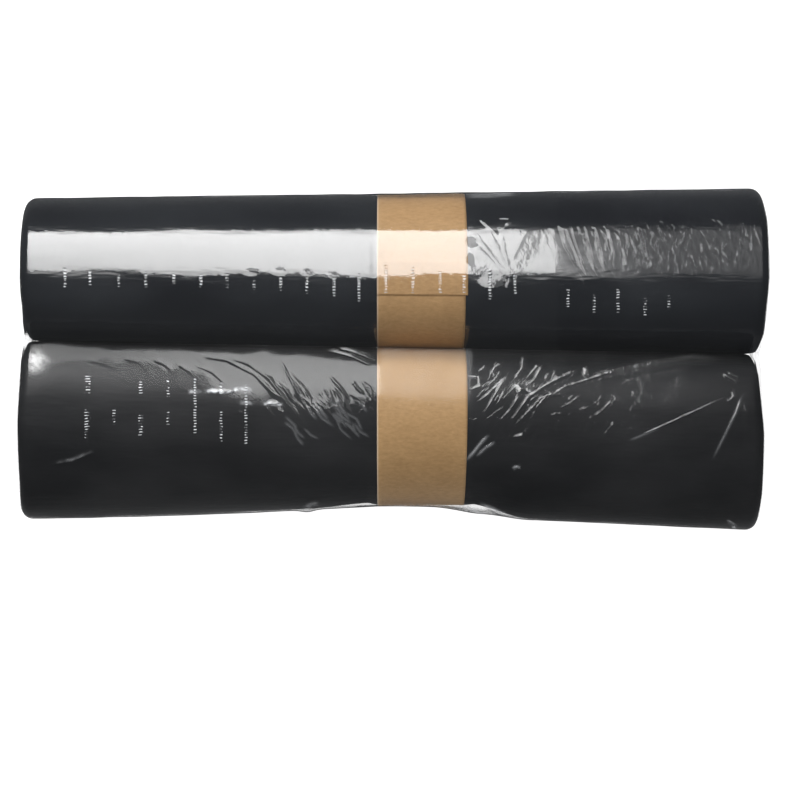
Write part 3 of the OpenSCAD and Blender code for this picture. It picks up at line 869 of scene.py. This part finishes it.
def make_roll(name, s):
    angle = np.linspace(0, 360, ROLL_AROUND + 1)
    body = []
    touching = ease((-np.cos(np.radians(angle)) - 0.35) / 0.2)
    neck = NECK if s == FRONT else REAR_NECK
    for x in spread((ROLL_LEFT + END_ROUND, BAND_X - RECESS_RUN, BODY_SPACING),
                    (BAND_X - RECESS_RUN, BAND_END + RECESS_RUN, WAIST_SPACING),
                    (BAND_END + RECESS_RUN, ROLL_RIGHT - END_ROUND, BODY_SPACING))[1:-1]:
        here = np.full_like(angle, x)
        recess = RECESS * mix(under_band(here), between_bands(here), touching)
        necked = neck * beside_band(here) * np.maximum(np.cos(np.radians(angle)), 0) ** 2
        body.append(np.stack(roll_point(here, s, angle, -recess - necked), axis=1))
    rings = np.array(roll_end(ROLL_LEFT - CLOSER, s, 1) + body
                     + roll_end(ROLL_RIGHT + CLOSER, s, -1)[::-1])
    return close_up(rings_to_piece(name, drawn_out(rings)))


rear_roll = make_roll("rear_bag_roll", REAR)
front_roll = make_roll("front_bag_roll", FRONT)


# The kraft bands

PAPER_GAP = 0.03
BAND_AROUND, LAP_POINTS = 240, 30
# The right edge of each band bows out over the roll's crown, and its outer layer sticks out
BOW, STICK_OUT = 0.9, 1.1
EDGE_STRIP, EDGE_SPACING, PAPER_SPACING = 1.2, 0.4, 1.4
EDGE_HIGHLIGHT_SHARE, EDGE_HIGHLIGHT_W = 0.6, 0.9


def make_band(name, s, edge):
    """A loop of paper round the roll's waist, twice as thick where its ends lap."""
    lap = LAP_LEN / (math.pi * ROLL_H_WAIST) * 360
    across = spread((BAND_X, BAND_X + EDGE_STRIP, EDGE_SPACING),
                    (BAND_X + EDGE_STRIP, BAND_END, PAPER_SPACING))
    angles = np.concatenate([np.linspace(edge - lap, edge, LAP_POINTS),
                             np.linspace(edge, edge - lap + 360, BAND_AROUND - LAP_POINTS)])
    outer = np.concatenate([np.ones(LAP_POINTS), np.linspace(0, 1, BAND_AROUND - LAP_POINTS)])
    paper = np.full(len(angles), BAND_T)
    paper[:LAP_POINTS] = 2 * BAND_T
    paper[[0, -1]] = BAND_T
    bow = BOW * (np.maximum(np.sin(np.radians(angles)), 0) ** 2 - 1)
    rings = []
    for lift_share, order in ((1, across), (0, across[::-1])):
        for x in order:
            share = (x - BAND_X) / BAND_W
            here = x + share ** 3 * (bow + STICK_OUT * outer)
            above_roll = -RECESS + PAPER_GAP + lift_share * paper
            rings.append(np.stack(roll_point(here, s, angles, above_roll), axis=1))
    rings.append(rings[0])
    band = close_up(rings_to_piece(name, np.array(rings)))
    from_edge = points_of(band)[:, 0] - BAND_X
    # A pale line along the paper's left edge: a painted highlight where the film bridges the edge of
    # the paper
    paint(band, "edge", EDGE_HIGHLIGHT_SHARE * (1 - ease(from_edge / EDGE_HIGHLIGHT_W)))
    return band


rear_band = make_band("rear_kraft_band", REAR, REAR_LAP_EDGE)
front_band = make_band("front_kraft_band", FRONT, FRONT_LAP_EDGE)


# Materials

class Graph:
    """A material's nodes, with short ways to add and join them."""

    def __init__(self, name):
        self.material = bpy.data.materials.new(name)
        self.material.use_nodes = True
        self.nodes = self.material.node_tree.nodes
        self.nodes.clear()
        self.output = self.nodes.new("ShaderNodeOutputMaterial")

    def add(self, kind, **inputs):
        node = self.nodes.new("ShaderNode" + kind)
        for key, value in inputs.items():
            self.put(node.inputs[key.replace("_", " ")], value)
        return node

    def put(self, socket, value):
        if isinstance(value, bpy.types.NodeSocket):
            self.material.node_tree.links.new(value, socket)
        else:
            socket.default_value = value

    def math(self, operation, a, b=0.0, c=None):
        node = self.nodes.new("ShaderNodeMath")
        node.operation = operation
        self.put(node.inputs[0], a)
        self.put(node.inputs[1], b)
        if c is not None:
            self.put(node.inputs[2], c)
        return node.outputs[0]

    def clamp(self, value, low, high):
        return self.math("MINIMUM", self.math("MAXIMUM", value, low), high)

    def blend(self, kind, share, first, second):
        """A mix of two shaders or colours, from the first at 0 to the second at 1."""
        node = self.add(kind)
        for socket, value in zip(node.inputs, (share, first, second)):
            self.put(socket, value)
        return node.outputs[0]

    def ramp(self, share, *stops):
        """A colour between two stops, each given as its place and colour."""
        node = self.add("ValToRGB", Fac=share)
        for element, (place, colour) in zip(node.color_ramp.elements, stops):
            element.position = place
            element.color = colour
        return node.outputs[0]

    def glow(self, strength):
        return self.add("Emission", Strength=strength).outputs[0]

    def attribute(self, name):
        node = self.add("Attribute")
        node.attribute_name = name
        return node.outputs["Fac"]

    def place(self, scale=(1, 1, 1), turn=0.0, shift=(0, 0, 0)):
        spot = self.add("TexCoord").outputs["Object"]
        return self.add("Mapping", Vector=spot, Location=shift, Scale=scale,
                        Rotation=(0, 0, math.radians(turn))).outputs[0]

    def noise(self, vector, scale, detail=2.0, roughness=0.5):
        return self.add("TexNoise", Vector=vector, Scale=scale, Detail=detail,
                        Roughness=roughness).outputs["Fac"]

    def bump(self, height, distance, normal=None):
        node = self.add("Bump", Height=height, Distance=distance)
        if normal is not None:
            self.put(node.inputs["Normal"], normal)
        return node.outputs[0]

    def finish(self, shader):
        self.material.node_tree.links.new(shader, self.output.inputs["Surface"])
        return self.material


VENT_HALF_WIDTH, SLIT_PITCH, SLIT_GLINT_GAIN = 2.0, 1.31, 1.5
SLIT_DEPTH_M, CRINKLE_M, SOFT_M, QUICK_M, LONG_FOLD_M = 0.00003, 0.0004, 0.0005, 0.00005, 0.0016
CRINKLE_SHADE = 5.0
CRINKLE_SHADE_SHIFT_M = (0.0005, 0.0009, 0)
FILM_LAYERS, FILM_HAZE = 2.3, (0.9, 0.92, 0.95, 1)
STRAIGHT_ON = 0.04


def vent_slits(g):
    """Short uneven slits in narrow columns, with pale dashes painted along them as glints, some of
    them closed up.
    """
    jitter = g.math("MULTIPLY_ADD", g.noise(g.place(), 700.0, 1.0), 2.4, -1.2)
    off = g.math("ABSOLUTE", g.math("ADD", g.attribute("vent_off"), jitter))
    narrow = g.clamp(g.math("MULTIPLY_ADD", off, -2.0 / VENT_HALF_WIDTH, 2.0), 0.0, 1.0)
    spot = g.add("TexCoord").outputs["Object"]
    y = g.add("SeparateXYZ", Vector=spot).outputs["Y"]
    wobble = g.noise(g.place(), 150.0, 1.0)
    phase = g.math("MULTIPLY_ADD", y, math.tau / (SLIT_PITCH * MM), g.math("MULTIPLY", wobble, 9.0))
    column = g.math("MULTIPLY", narrow, g.attribute("vents"))
    slit = g.math("MULTIPLY", g.math("SINE", phase), column)
    closing = g.noise(g.place((1, 0.8, 1)), 420.0, 1.0)
    open_share = g.clamp(g.math("MULTIPLY_ADD", closing, 7.0, -2.7), 0.08, 1.0)
    # pale dashes that whiten the film where the slits catch the lamp: painted glints
    slit_glint = g.math("MULTIPLY", g.math("MAXIMUM", g.math("SUBTRACT", slit, 0.3), 0.0), SLIT_GLINT_GAIN)
    return slit, g.math("MULTIPLY", slit_glint, open_share)


def film_surface(g, slit, crinkle, slack):
    """The film's fine relief: slits, crinkles, slow and quick unevenness, and folds on the sides."""
    normal = g.bump(slit, SLIT_DEPTH_M)
    for turn, scale in ((50, 330.0), (-35, 260.0)):
        fine = g.noise(g.place((1.0, 0.4, 1.0), turn), scale)
        normal = g.bump(g.math("MULTIPLY", fine, crinkle), CRINKLE_M, normal)
    normal = g.bump(g.noise(g.place((0.4, 1, 1)), 60.0, 1.0), SOFT_M, normal)
    tight = g.math("MAXIMUM", g.math("MULTIPLY_ADD", slack, -3.0, 1.0), 0.0)
    quick = g.math("MULTIPLY", g.noise(g.place(), 420.0), tight)
    normal = g.bump(quick, QUICK_M, normal)
    sides = g.math("SUBTRACT", 1.0, g.attribute("upward"))
    long_folds = g.noise(g.place((0.3, 1, 1), 24), 75.0, 2.0, 0.45)
    return g.bump(g.math("MULTIPLY", long_folds, sides), LONG_FOLD_M, normal)


def film_shine(g, normal, crinkle):
    """How much the film mirrors: the same from inside and outside, and with a painted light and
    shade of the crinkles where crinkled.
    """
    ground = g.noise(g.place((1, 0.7, 1), 40), 330.0)
    beside = g.noise(g.place((1, 0.7, 1), 40, CRINKLE_SHADE_SHIFT_M), 330.0)
    # the crinkles' light and shade are painted into the shine: a noise less the same noise shifted a
    # little
    crinkle_shade = g.math("MULTIPLY", g.math("SUBTRACT", ground, beside),
                    g.math("MULTIPLY", crinkle, CRINKLE_SHADE))
    glance = g.add("LayerWeight", Normal=normal).outputs["Facing"]
    shine = g.math("MULTIPLY_ADD", g.math("POWER", glance, 5.0), 1.0 - STRAIGHT_ON, STRAIGHT_ON)
    faces = g.math("MULTIPLY", g.attribute("gloss_share"), FILM_LAYERS)
    faces = g.math("MULTIPLY", faces, g.math("MAXIMUM", g.math("ADD", crinkle_shade, 1.0), 0.2))
    return g.math("MINIMUM", g.math("MULTIPLY", shine, faces), 1.0)


def clear_film():
    g = Graph("clear film")
    crinkle, slack = g.attribute("crinkle"), g.attribute("slack")
    slit, slit_glint = vent_slits(g)
    normal = film_surface(g, slit, crinkle, slack)
    rough = g.math("MULTIPLY_ADD", slack, 0.24, 0.07)
    gloss = g.add("BsdfGlossy", Color=(1, 1, 1, 1), Roughness=rough, Normal=normal)
    clear = g.add("BsdfTransparent").outputs[0]
    haze = g.add("BsdfDiffuse", Color=FILM_HAZE).outputs[0]
    # film seen edge on is milkier
    edge_on = g.add("LayerWeight").outputs["Facing"]
    haze_and_glints = g.math("MULTIPLY_ADD", g.math("POWER", edge_on, 6.0), 0.2, 0.008)
    haze_and_glints = g.math("ADD", haze_and_glints, g.math("ADD", slit_glint, g.attribute("milk_and_glints")))
    body = g.blend("MixShader", g.math("MINIMUM", haze_and_glints, 0.9), clear, haze)
    shine = film_shine(g, normal, crinkle)
    return g.finish(g.blend("MixShader", shine, body, gloss.outputs[0]))


LONG_LINES_M, FIBRES_M = 0.0006, 0.0001
GLOSSY_DARK, GLOSSY_PALE = (0.005, 0.006, 0.0085, 1), (0.0165, 0.019, 0.0225, 1)
# The dull bag's colours are the plastic's own black, lifted and warmed a little by a painted sheen
# of the surroundings on the front roll
DULL_DARK_AND_SHEEN, DULL_PALE_AND_SHEEN = (0.008, 0.0085, 0.0095, 1), (0.022, 0.0225, 0.024, 1)


def black_bag(name, roughness, specular, dark, pale):
    g = Graph(name)
    long_lines = g.noise(g.place((0.25, 1, 1)), 90.0, 3.0, 0.6)
    patches = g.noise(g.place((0.6, 1, 1)), 26.0, 3.0)
    colour = g.ramp(patches, (0.3, dark), (0.7, pale))
    rough = g.math("MULTIPLY_ADD", patches, 0.12, roughness)
    body = g.add("BsdfPrincipled", Base_Color=colour, Roughness=rough,
                 Specular_IOR_Level=specular, Normal=g.bump(long_lines, LONG_LINES_M))
    return g.finish(body.outputs[0])


KRAFT_DARK, KRAFT_PALE = (0.365, 0.217, 0.09, 1), (0.5, 0.31, 0.14, 1)
# The pale colour of the band's left edge is a painted highlight
KRAFT_EDGE_HIGHLIGHT = (0.8, 0.68, 0.55, 1)


def kraft_paper():
    g = Graph("kraft paper")
    fibres = g.noise(g.place((0.5, 1, 1)), 700.0, 4.0, 0.7)
    clouds = g.noise(g.place(), 60.0, 3.0)
    tone = g.math("ADD", g.math("MULTIPLY", fibres, 0.7), g.math("MULTIPLY", clouds, 0.3))
    brown = g.ramp(tone, (0.36, KRAFT_DARK), (0.7, KRAFT_PALE))
    colour = g.blend("MixRGB", g.attribute("edge"), brown, KRAFT_EDGE_HIGHLIGHT)
    body = g.add("BsdfPrincipled", Base_Color=colour, Roughness=0.62,
                 Specular_IOR_Level=0.5, Normal=g.bump(fibres, FIBRES_M))
    return g.finish(body.outputs[0])


def dress(piece, material, body, slot, *nodes):
    piece.data.materials.clear()
    piece.data.materials.append(material)
    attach(piece, body)
    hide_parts(*nodes)


kraft, film_plastic = kraft_paper(), clear_film()
glossy_plastic = black_bag("glossy bag plastic", 0.1, 1.0, GLOSSY_DARK, GLOSSY_PALE)
dull_plastic = black_bag("dull bag plastic", 0.36, 0.15, DULL_DARK_AND_SHEEN, DULL_PALE_AND_SHEEN)
dress(rear_roll, glossy_plastic, "root", "bag_plastic", "rear_roll")
dress(front_roll, dull_plastic, "root", "bag_plastic", "front_roll")
dress(rear_band, kraft, "root", "kraft_paper", "rear_label_band")
dress(front_band, kraft, "root", "kraft_paper", "front_label_band")
dress(film, film_plastic, "root", "clear_film", "shrink_film")


# Floor, light and camera

# The floor and the lamps are in metres
FLOOR_HALF, FLOOR_DROP, FLOOR_TONE = 12.0, 0.0005, (0.35, 0.35, 0.35, 1)
# Glowing sheets above the pack, each between two places along it. Their lower and upper edges are
# given by the angle from straight up towards the rear, seen from the top of the rear roll.
ROLL_TOP_Y, ROLL_TOP_Z = 0.045, 0.078
SHEET_REACH = 0.59
LAMP_SPLIT = 0.069
MAIN_LEFT, MAIN_RIGHT = (-0.501, (76.5, 1.0), (20, 0.35)), (LAMP_SPLIT, (64, 0.95), (11.5, 0.8))
DIM_EDGES = (66, 1.0), (12, 1.0)
DIM_LEFT, DIM_RIGHT = (LAMP_SPLIT, *DIM_EDGES), (LAMP_SPLIT + 0.5, *DIM_EDGES)
MAIN_RADIANCE, DIM_RADIANCE = 5.8, 0.6
SHEET_STEPS = 8
SHEEN_NEAR, SHEEN_FAR, SHEEN_Z = -0.6, -0.09, 0.0002
FILL_Z, FILL_SIDE, FILL_RADIANCE = 2.5, 2.0, 2.6
ROOM_COLOUR, ROOM_STRENGTH = (0.9, 0.95, 1.0, 1), 0.05


def make_floor():
    mesh = bmesh.new()
    bmesh.ops.create_grid(mesh, x_segments=1, y_segments=1, size=FLOOR_HALF)
    floor = to_object("floor", mesh)
    floor.location.z = -FLOOR_DROP
    g = Graph("pale floor")
    both = g.add("AddShader")
    g.put(both.inputs[0], g.add("BsdfDiffuse", Color=FLOOR_TONE).outputs[0])
    g.put(both.inputs[1], g.glow(1.0))
    floor.data.materials.append(g.finish(both.outputs[0]))
    floor.visible_glossy = False


def glowing_sheet(name, left, right, radiance):
    """A lamp from left to right: each end is its place and its lower and upper (angle, share)."""
    mesh = bmesh.new()
    bmesh.ops.create_grid(mesh, x_segments=SHEET_STEPS, y_segments=SHEET_STEPS, size=1.0)
    shares = []
    for corner in mesh.verts:
        along_it, upwards = (corner.co.x + 1) / 2, (corner.co.y + 1) / 2
        x, (angle_low, share_low), (angle_high, share_high) = (
            mix(np.array(a), np.array(b), along_it) for a, b in zip(left, right))
        turn = math.radians(mix(angle_low, angle_high, upwards))
        corner.co = (x, ROLL_TOP_Y + SHEET_REACH * math.sin(turn),
                     ROLL_TOP_Z + SHEET_REACH * math.cos(turn))
        shares.append(mix(share_low, share_high, upwards))
    sheet = to_object(name, mesh)
    paint(sheet, "share", shares)
    g = Graph(name)
    glow = g.glow(g.math("MULTIPLY", g.attribute("share"), radiance))
    sheet.data.materials.append(g.finish(glow))
    sheet.visible_camera = False


def floor_sheen(name, left, right, radiance):
    """The faint look of the floor in the lower sides, before the pack from left to right."""
    mesh = bmesh.new()
    bmesh.ops.create_grid(mesh, x_segments=1, y_segments=1, size=0.5)
    for corner in mesh.verts:
        corner.co = (mix(left, right, corner.co.x + 0.5),
                     mix(SHEEN_NEAR, SHEEN_FAR, corner.co.y + 0.5), SHEEN_Z)
    sheet = to_object(name, mesh)
    g = Graph(name)
    sheet.data.materials.append(g.finish(g.glow(radiance)))
    sheet.visible_camera = sheet.visible_diffuse = sheet.visible_shadow = False


def overhead_fill():
    """A square lamp high above that lights the bands and the floor, but shows in no reflection."""
    data = bpy.data.lights.new("overhead fill", "AREA")
    data.shape = "RECTANGLE"
    data.size = data.size_y = FILL_SIDE
    data.energy = FILL_RADIANCE * math.pi * FILL_SIDE ** 2
    lamp = bpy.data.objects.new("overhead fill", data)
    lamp.location.z = FILL_Z
    lamp.visible_glossy = False
    bpy.context.scene.collection.objects.link(lamp)


make_floor()
glowing_sheet("main lamp", MAIN_LEFT, MAIN_RIGHT, MAIN_RADIANCE)
glowing_sheet("dim lamp", DIM_LEFT, DIM_RIGHT, DIM_RADIANCE)
floor_sheen("floor sheen left", -0.5, -0.015, 0.16)
floor_sheen("floor sheen right", 0.05, 0.5, 0.08)
overhead_fill()

world = bpy.data.worlds.new("studio")
world.use_nodes = True
room = world.node_tree.nodes["Background"]
room.inputs["Color"].default_value = ROOM_COLOUR
room.inputs["Strength"].default_value = ROOM_STRENGTH
bpy.context.scene.world = world

lens = bpy.data.cameras.new("camera")
lens.sensor_fit = "HORIZONTAL"
lens.angle = 2 * math.atan(PHOTO_SIZE / 2 * MM_PER_PIXEL / (CAMERA_Z - CROWN_Z))
lens.clip_start, lens.clip_end = 0.05, 20.0
camera = bpy.data.objects.new("camera", lens)
camera.location = (CAMERA_X * MM, CAMERA_Y * MM, CAMERA_Z * MM)
bpy.context.scene.collection.objects.link(camera)
bpy.context.scene.camera = camera
bpy.context.scene.view_settings.view_transform = "Standard"
